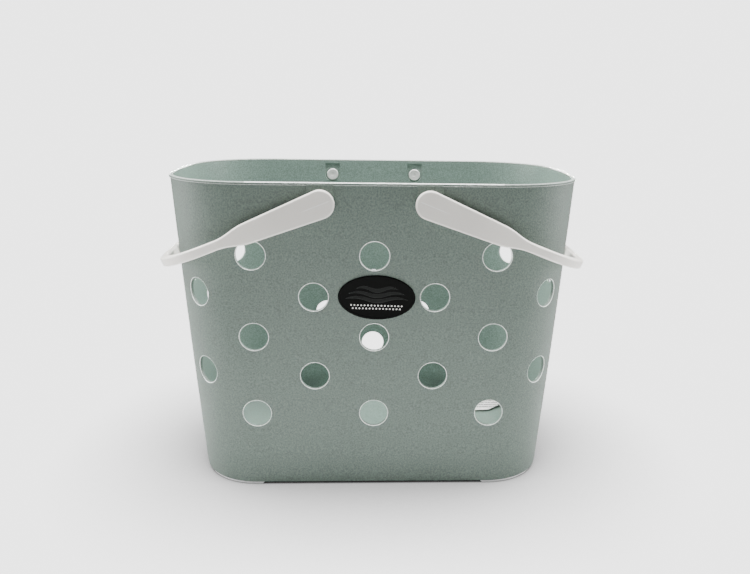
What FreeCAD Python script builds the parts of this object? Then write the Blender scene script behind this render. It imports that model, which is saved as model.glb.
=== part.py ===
import FreeCAD, Part
import os
from math import asin, atan2, cos, degrees, pi, radians, sin, sqrt, tan

# A shower caddy: a tapered, perforated plastic tub with two swinging carrying handles.
# Each handle is a U that turns on two pivot buttons, pushed in from inside the tub.
# Frame, in millimetres: X along the tub, Y through its depth (the front faces -Y), Z up.
# The origin is on the surface that the tub stands on, under its middle.

# ---- Tub: an outline of flats, corner arcs and bowed ends, which grows from base to rim ----
# Each outline is half width, half depth, corner radius, radius of the bowed end.
BASE_OUTLINE = (132.0, 75.0, 43.0, 131.0)
RIM_OUTLINE = (145.0, 87.25, 60.0, 257.0)
HEIGHT = 220.0
WALL = 2.2
FLOOR = 2.6
FLOOR_FILLET = 5.0
BEAD_HEIGHT = 3.4
BEAD_OUT = 0.7
LIP_RADIUS = 1.1

# ---- Foot: a low rim under the floor, open in the middle of the front and the rear ----
FOOT_HEIGHT = 2.0
FOOT_INSET = 1.2
FOOT_WIDTH = 3.0
FOOT_GAP = 156.0

# ---- Holes: five staggered rows round the wall, and drains in the floor ----
HOLE_DIAMETER = 19.5
HOLE_ROUNDING = 0.8
HOLE_STEP = 40.75
TOP_ROW = 171.5
ROW_STEP = 28.6
CORNER_HOLE_TURN = radians(42.0)
END_HOLE_SIDE = 36.0
DRAIN_DIAMETER = 8.0
DRAINS = [(45.0, 32.0), (45.0, -32.0), (95.0, 0.0)]

# ---- Pivots: raised pads outside, recesses inside, one bore through each ----
PIVOT_X = 35.4
PIVOT_Z = 207.3
PAD_WIDTH = 17.2
PAD_PROUD = 0.25
PAD_TOP_DROP = 1.3
RECESS_WIDTH = 12.6
RECESS_TOP_DROP = 4.0
BORE_DIAMETER = 7.0

# ---- Pivot buttons ----
BUTTON_HEAD_DIAMETER = 9.5
BUTTON_HEAD = 1.5
BUTTON_HEAD_ROUNDING = 0.6
BUTTON_HEAD_GAP = 0.1
BUTTON_SHANK_CLEARANCE = 0.05
BUTTON_TANG_DIAMETER = 5.5
BUTTON_TANG = 2.9

# ---- Handles: a flat U, drawn as if it pointed along +X, then tipped down to its rest ----
REST_DROP = 22.0
PADDLE_DROP = 1.0
ARM_GAP = 0.3
ARM_THICKNESS = 4.5
PADDLE_RADIUS = 9.5
PADDLE_TAPER = radians(2.9)
NECK_START = 50.0
NECK_END = 72.5
NECK_PULL = 9.0
BAR_HALF_HEIGHT = 3.2
BOW_REACH = 122.7
BOW_CORNER = 40.3
BOW_END = 456.0
GRIP_THICKNESS = 7.0
GRIP_INNER_CORNER = 35.0
HANDLE_ROUNDING = 1.4
SOCKET_DEPTH = 3.0

# ---- Badge on the front, and the paper tag lying inside ----
BADGE_SIZE = (52.0, 31.0)
BADGE_THICKNESS = 1.2
BADGE_ROUNDING = 0.5
BADGE_PLACE = (1.5, 143.0)
BADGE_TURN = 1.5
TAG_WIDTH = 25.4
TAG_LENGTH = 46.0
TAG_POINT = 11.5
TAG_END = 3.0
TAG_THICKNESS = 0.5
TAG_TIP = (115.0, 52.0)
TAG_TILT = 3.2
TAG_TURN = 4.0

# ---- Values that follow from these ----
FLOOR_TOP = FOOT_HEIGHT + FLOOR
PAD_FACE = RIM_OUTLINE[1] + BEAD_OUT + PAD_PROUD
RECESS_FACE = PAD_FACE - WALL
ARM_INNER = PAD_FACE + ARM_GAP
ARM_OUTER = ARM_INNER + ARM_THICKNESS
SHANK_DIAMETER = BORE_DIAMETER - 2 * BUTTON_SHANK_CLEARANCE
OVERSHOOT = 5.0

V = FreeCAD.Vector


def outline_sizes(z, offset=0.0):
    """Half width, half depth, corner radius and end radius of the tub's outline at height z."""
    share = z / HEIGHT
    return [low + (high - low) * share + offset for low, high in zip(BASE_OUTLINE, RIM_OUTLINE)]


def corner_centre(half_width, half_depth, corner, end):
    """Centre of the corner arc that touches the flat at half_depth and lies inside the end arc."""
    y = half_depth - corner
    return half_width - end + sqrt((end - corner) ** 2 - y ** 2), y


def bent_edge(half_width, half_depth, corner, end, z):
    """Corner, end and corner again, as three arcs from the front flat round to the rear one."""
    corner_x, corner_y = corner_centre(half_width, half_depth, corner, end)
    turn = pi / 2 - atan2(corner_y, corner_x - (half_width - end))
    front = []
    for angle in (0.0, turn / 2, turn):
        front.append(V(corner_x + corner * sin(angle), -corner_y - corner * cos(angle), z))
    rear = [V(point.x, -point.y, z) for point in reversed(front)]
    return [
        Part.Arc(*front).toShape(),
        Part.Arc(front[-1], V(half_width, 0, z), rear[0]).toShape(),
        Part.Arc(*rear).toShape(),
    ]


def outline(z, offset=0.0):
    """The tub's closed outline at height z, grown outwards by offset."""
    right = bent_edge(*outline_sizes(z, offset), z)
    front = right[0].valueAt(right[0].FirstParameter)
    rear = V(front.x, -front.y, z)
    left = [edge.rotated(V(0, 0, 0), V(0, 0, 1), 180) for edge in right]
    rear_flat = Part.makeLine(rear, V(-rear.x, rear.y, z))
    front_flat = Part.makeLine(V(-front.x, front.y, z), front)
    return Part.Wire(right + [rear_flat] + left + [front_flat])


def layer(bottom, top, offset=0.0):
    """The solid between two heights inside the outline, grown outwards by offset."""
    return Part.makeLoft([outline(bottom, offset), outline(top, offset)], True, True)


def edges_at(shape, z):
    """The edges of a shape that lie flat at height z."""
    return [edge for edge in shape.Edges
            if abs(edge.BoundBox.ZMin - z) < 1e-4 and abs(edge.BoundBox.ZMax - z) < 1e-4]


def wall_spot(z, place, value):
    """A point on the right front quarter of the wall at height z, and the way out of the wall.

    place says which stretch: the flat (value is x), the corner (value is the angle turned
    from the front) or the end (value is y).
    """
    def at(height):
        half_width, half_depth, corner, end = outline_sizes(height)
        corner_x, corner_y = corner_centre(half_width, half_depth, corner, end)
        if place == "flat":
            return V(value, -half_depth, height), V(0, -1, 0)
        if place == "corner":
            way = V(sin(value), -cos(value), 0)
            return V(corner_x, -corner_y, height) + way * corner, way
        side = asin(value / end)
        way = V(cos(side), sin(side), 0)
        return V(half_width - end, 0, height) + way * end, way

    point, way = at(z)
    lean = (at(z + 1)[0] - at(z - 1)[0]).dot(way) / 2
    return point, V(way.x, way.y, -lean).normalize()


def hole_spots():
    """Every hole in the wall, as a point and the way out, the same on all four quarters."""
    quarter = []
    for row in range(5):
        z = TOP_ROW - row * ROW_STEP
        if row % 2 == 0:
            kinds = [("flat", 0.0), ("flat", 2 * HOLE_STEP), ("end", -END_HOLE_SIDE)]
        else:
            kinds = [("flat", HOLE_STEP), ("corner", CORNER_HOLE_TURN), ("end", 0.0)]
        quarter += [wall_spot(z, *kind) for kind in kinds]
    spots = {}
    for point, way in quarter:
        for x in (1, -1):
            for y in (1, -1):
                place = V(x * point.x, y * point.y, point.z)
                key = (round(place.x, 3), round(place.y, 3), round(place.z, 3))
                spots[key] = (place, V(x * way.x, y * way.y, way.z))
    return list(spots.values())


def hole_cutter(point, way):
    """A round hole through the wall whose outer edge is rounded over."""
    radius = HOLE_DIAMETER / 2
    flare = radius + HOLE_ROUNDING
    bend = HOLE_ROUNDING * (1 - sqrt(0.5))
    inner = -WALL - OVERSHOOT
    arc = Part.Arc(V(radius, 0, -HOLE_ROUNDING), V(radius + bend, 0, -bend), V(flare, 0, 0))
    profile = Part.Wire([
        Part.makeLine(V(0, 0, inner), V(radius, 0, inner)),
        Part.makeLine(V(radius, 0, inner), V(radius, 0, -HOLE_ROUNDING)),
        arc.toShape(),
        Part.makeLine(V(flare, 0, 0), V(flare, 0, OVERSHOOT)),
        Part.makeLine(V(flare, 0, OVERSHOOT), V(0, 0, OVERSHOOT)),
        Part.makeLine(V(0, 0, OVERSHOOT), V(0, 0, inner)),
    ])
    cutter = Part.Face(profile).revolve(V(0, 0, 0), V(0, 0, 1), 360)
    cutter.Placement = FreeCAD.Placement(point, FreeCAD.Rotation(V(0, 0, 1), way))
    return cutter


def slot_prism(x, width, top, start, end):
    """A prism along Y from start to end, round below about the pivot at x, square at the top."""
    half = width / 2
    left = V(x - half, start, PIVOT_Z)
    right = V(x + half, start, PIVOT_Z)
    profile = Part.Wire([
        Part.Arc(left, V(x, start, PIVOT_Z - half), right).toShape(),
        Part.makeLine(right, V(x + half, start, top)),
        Part.makeLine(V(x + half, start, top), V(x - half, start, top)),
        Part.makeLine(V(x - half, start, top), left),
    ])
    return Part.Face(profile).extrude(V(0, end - start, 0))


def foot_rim():
    """The low rim that the tub stands on, cut away in the middle of the front and the rear."""
    rim = layer(0, FOOT_HEIGHT, -FOOT_INSET).cut(layer(0, FOOT_HEIGHT, -FOOT_INSET - FOOT_WIDTH))
    half = FOOT_GAP / 2
    depth = BASE_OUTLINE[1] + OVERSHOOT
    corners = [
        V(-half - FOOT_HEIGHT, -depth, 0),
        V(half + FOOT_HEIGHT, -depth, 0),
        V(half, -depth, FOOT_HEIGHT),
        V(-half, -depth, FOOT_HEIGHT),
    ]
    gap = Part.Face(Part.makePolygon(corners + corners[:1])).extrude(V(0, 2 * depth, 0))
    return rim.cut(gap)


def tub():
    """The whole moulding: wall, floor, rim bead, pivot pads, holes and foot."""
    body = layer(FOOT_HEIGHT, HEIGHT)
    bead = layer(HEIGHT - BEAD_HEIGHT, HEIGHT, BEAD_OUT)
    pads = []
    recesses = []
    for x in (-PIVOT_X, PIVOT_X):
        for side in (-1, 1):
            pad_start = side * (RIM_OUTLINE[1] - WALL)
            pads.append(slot_prism(x, PAD_WIDTH, HEIGHT - PAD_TOP_DROP, pad_start, side * PAD_FACE))
            recess_start = side * (RIM_OUTLINE[1] - 2 * OVERSHOOT)
            recess = slot_prism(x, RECESS_WIDTH, HEIGHT - RECESS_TOP_DROP, recess_start,
                                side * RECESS_FACE)
            recesses.append(recess)
    body = body.fuse([bead] + pads)

    cavity = layer(FLOOR_TOP, HEIGHT + OVERSHOOT, -WALL)
    cavity = cavity.makeFillet(FLOOR_FILLET, edges_at(cavity, FLOOR_TOP))
    body = body.cut(cavity).removeSplitter()
    body = body.makeFillet(LIP_RADIUS, edges_at(body, HEIGHT))

    bores = []
    for x in (-PIVOT_X, PIVOT_X):
        start = V(x, -PAD_FACE - OVERSHOOT, PIVOT_Z)
        bores.append(Part.makeCylinder(BORE_DIAMETER / 2, 2 * (PAD_FACE + OVERSHOOT), start, V(0, 1, 0)))
    drains = []
    for x, y in DRAINS:
        for side in (-1, 1):
            drains.append(Part.makeCylinder(DRAIN_DIAMETER / 2, FLOOR_TOP + OVERSHOOT, V(side * x, y, 0)))
    holes = [hole_cutter(point, way) for point, way in hole_spots()]
    body = body.cut(recesses + bores + drains + holes)
    return body.fuse(foot_rim()).removeSplitter()


def arm_profile():
    """The side view of the handle: round paddle, S-shaped neck, slim bar, as a face in XZ."""
    touch = V(PADDLE_RADIUS * sin(PADDLE_TAPER), 0, PADDLE_RADIUS * cos(PADDLE_TAPER))
    neck = V(NECK_START, 0, touch.z - (NECK_START - touch.x) * tan(PADDLE_TAPER))
    bar = V(NECK_END, 0, BAR_HALF_HEIGHT)
    past_bow = V(BOW_REACH + OVERSHOOT, 0, BAR_HALF_HEIGHT)
    curve = Part.BezierCurve()
    curve.setPoles([
        neck,
        neck + V(NECK_PULL, 0, -NECK_PULL * tan(PADDLE_TAPER)),
        bar - V(NECK_PULL, 0, 0),
        bar,
    ])
    upper = [Part.makeLine(touch, neck), curve.toShape(), Part.makeLine(bar, past_bow)]
    lower = [edge.mirror(V(0, 0, 0), V(0, 0, 1)) for edge in upper]
    nose = Part.Arc(V(touch.x, 0, -touch.z), V(-PADDLE_RADIUS, 0, 0), touch).toShape()
    tip = Part.makeLine(past_bow, V(past_bow.x, 0, -past_bow.z))
    return Part.Face(Part.Wire(Part.__sortEdges__(upper + lower + [nose, tip])))


def bow_plan(reach, half_depth, corner, end):
    """The plan of a U that opens to -X: two straight arms and the bow that joins them."""
    bow = bent_edge(reach, half_depth, corner, end, 0)
    front = bow[0].valueAt(bow[0].FirstParameter)
    back = -PADDLE_RADIUS - OVERSHOOT
    edges = bow + [
        Part.makeLine(V(back, -half_depth, 0), front),
        Part.makeLine(V(front.x, half_depth, 0), V(back, half_depth, 0)),
        Part.makeLine(V(back, half_depth, 0), V(back, -half_depth, 0)),
    ]
    return Part.Face(Part.Wire(Part.__sortEdges__(edges)))


def right_handle():
    """The right handle at rest, with a socket for a button's tang inside each arm."""
    outer = bow_plan(BOW_REACH, ARM_OUTER, BOW_CORNER, BOW_END)
    inner = bow_plan(BOW_REACH - GRIP_THICKNESS, ARM_INNER, GRIP_INNER_CORNER,
                     BOW_END - GRIP_THICKNESS)
    depth = ARM_OUTER + OVERSHOOT
    side_view = arm_profile().translated(V(0, -depth, 0)).extrude(V(0, 2 * depth, 0))
    slab = outer.cut(inner).translated(V(0, 0, -depth)).extrude(V(0, 0, 2 * depth))
    handle = side_view.common(slab).removeSplitter()
    handle = handle.makeFillet(HANDLE_ROUNDING, handle.Edges)
    handle.rotate(V(0, 0, 0), V(0, 1, 0), REST_DROP)
    handle.translate(V(PIVOT_X, 0, PIVOT_Z - PADDLE_DROP))
    for side in (-1, 1):
        start = V(PIVOT_X, side * (ARM_INNER - OVERSHOOT), PIVOT_Z)
        length = SOCKET_DEPTH + OVERSHOOT
        socket = Part.makeCylinder(BUTTON_TANG_DIAMETER / 2, length, start, V(0, side, 0))
        handle = handle.cut(socket)
    return handle


def pivot_button(x, side):
    """One button: a head in the tub's recess, a shank in its bore, a tang in the handle."""
    head_face = RECESS_FACE - BUTTON_HEAD_GAP - BUTTON_HEAD
    way = V(0, side, 0)
    start = V(x, side * head_face, PIVOT_Z)
    head = Part.makeCylinder(BUTTON_HEAD_DIAMETER / 2, BUTTON_HEAD, start, way)
    outer_edges = [edge for edge in head.Edges if edge.Closed and abs(edge.CenterOfMass.y - start.y) < 1e-4]
    head = head.makeFillet(BUTTON_HEAD_ROUNDING, outer_edges)
    shank_length = ARM_INNER - head_face - BUTTON_HEAD
    shank_start = start + way * BUTTON_HEAD
    shank = Part.makeCylinder(SHANK_DIAMETER / 2, shank_length, shank_start, way)
    tang_start = shank_start + way * shank_length
    tang = Part.makeCylinder(BUTTON_TANG_DIAMETER / 2, BUTTON_TANG, tang_start, way)
    return head.fuse([shank, tang]).removeSplitter()


def badge():
    """The oval badge stuck on the sloping front wall."""
    long_radius = BADGE_SIZE[0] / 2
    short_radius = BADGE_SIZE[1] / 2
    ellipse = Part.Ellipse(V(0, 0, 0), long_radius, short_radius).toShape()
    plate = Part.Face(Part.Wire(ellipse)).extrude(V(0, 0, BADGE_THICKNESS))
    plate = plate.makeFillet(BADGE_ROUNDING, edges_at(plate, BADGE_THICKNESS))
    plate.rotate(V(0, 0, 0), V(0, 0, 1), -BADGE_TURN)
    x, z = BADGE_PLACE
    point, way = wall_spot(z, "flat", x)
    lean = degrees(asin(-way.z))
    plate.rotate(V(0, 0, 0), V(1, 0, 0), 90 + lean)
    plate.translate(point)
    return plate


def paper_tag():
    """The pointed paper tag that lies inside, its tip raised on the fillet of the floor."""
    half = TAG_WIDTH / 2
    corners = [
        V(0, -TAG_END / 2, 0),
        V(0, TAG_END / 2, 0),
        V(-TAG_POINT, half, 0),
        V(-TAG_LENGTH, half, 0),
        V(-TAG_LENGTH, -half, 0),
        V(-TAG_POINT, -half, 0),
    ]
    tag = Part.Face(Part.makePolygon(corners + corners[:1])).extrude(V(0, 0, TAG_THICKNESS))
    tag.rotate(V(-TAG_LENGTH, 0, 0), V(0, 1, 0), -TAG_TILT)
    tag.translate(V(0, 0, FLOOR_TOP - tag.BoundBox.ZMin))
    tag.rotate(V(0, 0, 0), V(0, 0, 1), -TAG_TURN)
    tag.translate(V(TAG_TIP[0], TAG_TIP[1], 0))
    return tag


def nodes():
    """Every piece, by the name of its node."""
    handle = right_handle()
    pieces = {
        "tub": tub(),
        "right_handle": handle,
        "left_handle": handle.mirror(V(0, 0, 0), V(1, 0, 0)),
        "badge": badge(),
        "paper_tag": paper_tag(),
    }
    for side_name, x in (("left", -PIVOT_X), ("right", PIVOT_X)):
        for end_name, side in (("front", -1), ("rear", 1)):
            pieces[f"{end_name}_{side_name}_pivot_button"] = pivot_button(x, side)
    return pieces


os.makedirs("parts", exist_ok=True)
for name, shape in nodes().items():
    shape.exportStep(f"parts/{name}.step")
    print(name, "solids", len(shape.Solids), "valid", shape.isValid(), "mm3", round(shape.Volume))
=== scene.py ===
from math import asin, atan2, cos, pi, radians, sin, sqrt, tan

import bmesh
import bpy
from mathutils import Matrix, Vector


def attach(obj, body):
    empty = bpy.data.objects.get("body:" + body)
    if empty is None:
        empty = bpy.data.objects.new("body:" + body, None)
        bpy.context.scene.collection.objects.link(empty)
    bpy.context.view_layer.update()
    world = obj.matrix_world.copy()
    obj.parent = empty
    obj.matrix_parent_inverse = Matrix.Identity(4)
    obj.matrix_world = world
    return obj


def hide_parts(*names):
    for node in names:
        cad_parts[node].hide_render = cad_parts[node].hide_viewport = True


# A shower caddy: a tapered, perforated tub with two white swing handles on pivot buttons,
# an oval badge on its front and a paper tag lying inside.
# Sizes are in millimetres, as on the drawing of the part, and become metres in build_mesh.

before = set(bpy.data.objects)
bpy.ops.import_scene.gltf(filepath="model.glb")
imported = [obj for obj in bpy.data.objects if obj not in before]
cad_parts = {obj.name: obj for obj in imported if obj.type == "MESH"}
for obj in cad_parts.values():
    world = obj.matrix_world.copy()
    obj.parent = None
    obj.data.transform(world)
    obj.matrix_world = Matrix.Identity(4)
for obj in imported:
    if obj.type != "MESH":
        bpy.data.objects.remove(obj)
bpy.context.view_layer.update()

# ---- Tub ----
# Each outline is half width, half depth, corner radius, radius of the bowed end.
BASE_OUTLINE = (132.0, 75.0, 43.0, 131.0)
RIM_OUTLINE = (145.0, 87.25, 60.0, 257.0)
HEIGHT = 220.0
WALL = 2.2
FLOOR_TOP = 4.6
FLOOR_FILLET = 5.0
BEAD_HEIGHT = 1.9
BEAD_OUT = 0.7
LIP_RADIUS = 1.1
FLASH = 0.1
FLASH_DROPS = (1.5, 1.95)
LIP_SHINE = 0.6
FOOT_HEIGHT = 2.0
FOOT_INSET = 1.2
FOOT_WIDTH = 3.0
FOOT_GAP = 156.0

# ---- Holes ----
HOLE_DIAMETER = 19.5
HOLE_ROUNDING = 0.45
HOLE_STEP = 40.75
TOP_ROW = 171.5
ROW_STEP = 28.6
CORNER_HOLE_TURN = radians(42.0)
END_HOLE_SIDE = 36.0
DRAIN_DIAMETER = 8.0
DRAINS = [(45.0, 32.0), (45.0, -32.0), (95.0, 0.0)]

# ---- Pivots and buttons ----
PIVOT_X = 35.4
PIVOT_Z = 207.3
PAD_WIDTH = 17.2
PAD_FACE = 88.2
PAD_TOP = 218.7
PAD_ROUNDING = 0.3
RECESS_WIDTH = 12.6
RECESS_FACE = 86.0
RECESS_TOP = 216.8
BORE_DIAMETER = 7.0
BUTTON_HEAD = (9.5, 1.5, 0.6)
BUTTON_HEAD_FACE = 84.4
SHANK_DIAMETER = 6.9
TANG_DIAMETER = 5.5
TANG_LENGTH = 2.9

# ---- Handles ----
REST_DROP = radians(22.0)
PADDLE_DROP = 1.0
ARM_INNER = 88.5
ARM_OUTER = 93.0
PADDLE_RADIUS = 9.5
PADDLE_TAPER = radians(2.9)
NECK_START = 50.0
NECK_END = 72.5
NECK_PULL = 9.0
BAR_HALF_HEIGHT = 3.2
BOW_OUTER = (122.7, 93.0, 40.3, 456.0)
BOW_INNER = (115.7, 88.5, 35.0, 449.0)
HANDLE_ROUNDING = 1.4

# ---- Badge and tag ----
BADGE_RADII = (26.0, 15.5)
BADGE_THICKNESS = 1.2
BADGE_ROUNDING = 0.5
BADGE_PLACE = (1.5, 143.0)
BADGE_TURN = radians(1.5)
# Each wave is its middle height and its length. Dots: count, row length, middle height, gap of the rows.
BADGE_WAVES = ((6.2, 28), (2.6, 38), (-1.0, 42))
BADGE_DOTS = (31, 34.0, -6.6, 2.2)
TAG_WIDTH = 25.4
TAG_LENGTH = 46.0
TAG_POINT = 11.5
TAG_END = 3.0
TAG_THICKNESS = 0.28
TAG_TIP = (115.0, 52.0)
TAG_TILT = radians(3.2)
TAG_TURN = radians(4.0)


# ---------------------------------------------------------------- meshes

def build_mesh(name, verts, faces, place=Matrix.Identity(4)):
    """An object at the origin whose mesh, given in millimetres, stands at place."""
    mesh = bpy.data.meshes.new(name)
    mesh.from_pydata([place @ Vector(v) * 0.001 for v in verts], [], faces)
    bm = bmesh.new()
    bm.from_mesh(mesh)
    bmesh.ops.remove_doubles(bm, verts=bm.verts, dist=2e-6)
    bmesh.ops.dissolve_degenerate(bm, edges=bm.edges, dist=1e-7)
    bmesh.ops.recalc_face_normals(bm, faces=bm.faces)
    bm.to_mesh(mesh)
    bm.free()
    piece = bpy.data.objects.new(name, mesh)
    bpy.context.scene.collection.objects.link(piece)
    return piece


def loft(rings, closed=False, caps=True):
    """Vertices and faces of a skin over equal rings, capped at both ends or closed on itself."""
    count = len(rings[0])
    verts = [v for ring in rings for v in ring]
    faces = []
    for k in range(len(rings) if closed else len(rings) - 1):
        low = k * count
        high = (k + 1) % len(rings) * count
        for i in range(count):
            j = (i + 1) % count
            faces.append((low + i, low + j, high + j, high + i))
    if caps and not closed:
        faces.append(tuple(reversed(range(count))))
        faces.append(tuple(range(len(verts) - count, len(verts))))
    return verts, faces


def joined(parts):
    """One list of vertices and faces from several."""
    verts, faces = [], []
    for more_verts, more_faces in parts:
        start = len(verts)
        verts += more_verts
        faces += [tuple(start + i for i in face) for face in more_faces]
    return verts, faces


def circle(radius, height, steps):
    return [(radius * cos(2 * pi * i / steps), radius * sin(2 * pi * i / steps), height)
            for i in range(steps)]


def turned(profile, steps=48):
    """A turned solid about Z from its (radius, height) profile, bottom to top."""
    return loft([circle(radius, height, steps) for radius, height in profile])


def rounded(outer, height, radius, steps=4):
    """Profile points of a rounded edge from the side at outer up to a face at height."""
    turns = [pi / 2 * i / steps for i in range(steps + 1)]
    return [(outer - radius + radius * cos(a), height - radius + radius * sin(a)) for a in turns]


def smooth(piece, angle=30.0):
    """Smooth shading that keeps the large flat faces flat and the real corners crisp."""
    for polygon in piece.data.polygons:
        polygon.use_smooth = True
    piece.data.set_sharp_from_angle(angle=radians(angle))
    weigh = piece.modifiers.new("Flat faces lead", "WEIGHTED_NORMAL")
    weigh.keep_sharp = True
    weigh.weight = 100
    baked(piece)


def baked(piece):
    """Turns the piece's modifiers into its plain mesh."""
    depsgraph = bpy.context.evaluated_depsgraph_get()
    mesh = bpy.data.meshes.new_from_object(piece.evaluated_get(depsgraph))
    piece.modifiers.clear()
    piece.data = mesh
    return piece


# ---------------------------------------------------------------- nodes

class Tree:
    """Short ways to add nodes to a tree and to wire them."""

    def __init__(self, tree):
        self.tree = tree

    def add(self, kind, **settings):
        node = self.tree.nodes.new(kind)
        for key, value in settings.items():
            setattr(node, key, value)
        return node

    def wire(self, source, target):
        self.tree.links.new(source, target)

    def put(self, target, value):
        if isinstance(value, bpy.types.NodeSocket):
            self.wire(value, target)
        else:
            target.default_value = value

    def math(self, operation, *values, clamp=False):
        node = self.add("ShaderNodeMath", operation=operation, use_clamp=clamp)
        for socket, value in zip(node.inputs, values):
            self.put(socket, value)
        return node.outputs[0]

    def vector(self, operation, *values):
        node = self.add("ShaderNodeVectorMath", operation=operation)
        for socket, value in zip(node.inputs, values[:2]):
            self.put(socket, value)
        if len(values) == 3:
            self.put(node.inputs["Scale"], values[2])
        return node.outputs["Value" if operation == "DOT_PRODUCT" else "Vector"]

    def remap(self, value, low, high, new_low, new_high):
        node = self.add("ShaderNodeMapRange")
        for key, number in (("From Min", low), ("From Max", high), ("To Min", new_low), ("To Max", new_high)):
            node.inputs[key].default_value = number
        self.wire(value, node.inputs["Value"])
        return node.outputs["Result"]

    def noise(self, where, scale, detail=2.0, roughness=0.5):
        node = self.add("ShaderNodeTexNoise")
        self.wire(where, node.inputs["Vector"])
        node.inputs["Scale"].default_value = scale
        node.inputs["Detail"].default_value = detail
        node.inputs["Roughness"].default_value = roughness
        return node.outputs["Fac"]

    def blend(self, share, first, second):
        # A Mix node's inputs 6 and 7 and its output 2 are the ones for colours.
        node = self.add("ShaderNodeMix", data_type="RGBA")
        self.put(node.inputs["Factor"], share)
        self.put(node.inputs[6], first)
        self.put(node.inputs[7], second)
        return node.outputs[2]


def geometry_tree(name, inputs):
    """A Geometry Nodes tree with these named inputs, and its group input and output nodes."""
    tree = bpy.data.node_groups.new(name, "GeometryNodeTree")
    tree.interface.new_socket("Geometry", in_out="INPUT", socket_type="NodeSocketGeometry")
    tree.interface.new_socket("Geometry", in_out="OUTPUT", socket_type="NodeSocketGeometry")
    for label, kind in inputs:
        tree.interface.new_socket(label, in_out="INPUT", socket_type=f"NodeSocket{kind}")
    made = Tree(tree)
    return made, made.add("NodeGroupInput"), made.add("NodeGroupOutput")


def run_tree(piece, tree, values):
    """Runs a tree on the piece with its named inputs set, and keeps the result as a plain mesh."""
    modifier = piece.modifiers.new(tree.tree.name, "NODES")
    modifier.node_group = tree.tree
    for item in tree.tree.interface.items_tree:
        if item.in_out == "INPUT" and item.name in values:
            modifier[item.identifier] = values[item.name]
    return baked(piece)


def shader(name):
    """A material with its tree, its Principled shader and Object coordinates."""
    material = bpy.data.materials.new(name)
    material.use_nodes = True
    tree = Tree(material.node_tree)
    principled = material.node_tree.nodes["Principled BSDF"]
    where = tree.add("ShaderNodeTexCoord").outputs["Object"]
    return material, tree, principled, where


def bumped(tree, principled, height, strength, distance):
    bump = tree.add("ShaderNodeBump")
    bump.inputs["Strength"].default_value = strength
    bump.inputs["Distance"].default_value = distance
    tree.wire(height, bump.inputs["Height"])
    tree.wire(bump.outputs["Normal"], principled.inputs["Normal"])


def face_attribute(tree, name):
    return tree.add("ShaderNodeAttribute", attribute_name=name).outputs["Fac"]


# ---------------------------------------------------------------- materials

def tub_plastic():
    """Grey-green polypropylene: fine spark grain outside and smoother inside. The inside is painted paler and
    a little greener than the outside as painted light, and painted highlights and shade are laid on marked
    faces.
    """
    material, tree, principled, where = shader("Tub plastic")
    inside = face_attribute(tree, "inside")
    edge = face_attribute(tree, "edge_highlight")
    cloud = tree.noise(where, 22.0, 3.0)
    grain = tree.noise(where, 1000.0, 3.0, 0.6)
    speck = tree.noise(where, 2600.0, 1.0)
    outer = tree.blend(cloud, (0.095, 0.130, 0.108, 1), (0.107, 0.144, 0.120, 1))
    # Painted light: the inside's colour is a paler copy of the same plastic, standing in for the light that
    # falls inside.
    inner = tree.blend(cloud, (0.160, 0.226, 0.192, 1), (0.178, 0.248, 0.212, 1))
    place = tree.add("ShaderNodeSeparateXYZ")
    tree.wire(where, place.inputs[0])
    # Painted light and shade: the inside is painted paler towards the rim, and painted darker where the floor
    # runs to the two ends, where shade falls.
    floor_end_shade = tree.remap(tree.math("ABSOLUTE", place.outputs["X"]), 0.03, 0.06, 1.0, 0.58)
    floor_end_shade = tree.math("MAXIMUM", floor_end_shade, tree.remap(place.outputs["Z"], 0.006, 0.03, 0.0, 1.0))
    inner_painted_light = tree.math("MULTIPLY", floor_end_shade, tree.remap(place.outputs["Z"], 0.004, 0.16, 0.84, 1.06))
    inner = tree.vector("SCALE", inner, (0, 0, 0), inner_painted_light)
    # Painted light: the recesses' faces are painted paler, against the shade cast by their upper edge.
    inner = tree.blend(face_attribute(tree, "recess_light"), inner, (0.42, 0.53, 0.47, 1))
    # Painted shade: the outside is painted darker on the foot, below the wall's bottom edge.
    foot_shade = tree.remap(place.outputs["Z"], 0.0019, 0.0028, 0.22, 1.0)
    outer = tree.vector("SCALE", outer, (0, 0, 0), foot_shade)
    colour = tree.blend(inside, outer, inner)
    # Painted highlight: hole rims, the lip, the recesses' sides and the flash line are painted pale.
    colour = tree.blend(edge, colour, (0.84, 0.88, 0.84, 1))
    shade = tree.remap(grain, 0.3, 0.7, 0.66, 1.34)
    scaled = tree.vector("SCALE", colour, (0, 0, 0), shade)
    tree.wire(scaled, principled.inputs["Base Color"])
    polish = tree.math("MAXIMUM", inside, edge)
    rough = tree.blend(polish, (0.56, 0.56, 0.56, 1), (0.40, 0.40, 0.40, 1))
    rough = tree.math("ADD", rough, tree.remap(grain, 0.3, 0.7, -0.05, 0.05))
    tree.wire(rough, principled.inputs["Roughness"])
    relief = tree.math("ADD", grain, tree.math("MULTIPLY", speck, 0.4))
    relief = tree.math("MULTIPLY", relief, tree.remap(polish, 0.0, 1.0, 1.0, 0.25))
    bumped(tree, principled, relief, 0.7, 0.0002)
    return material


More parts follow.
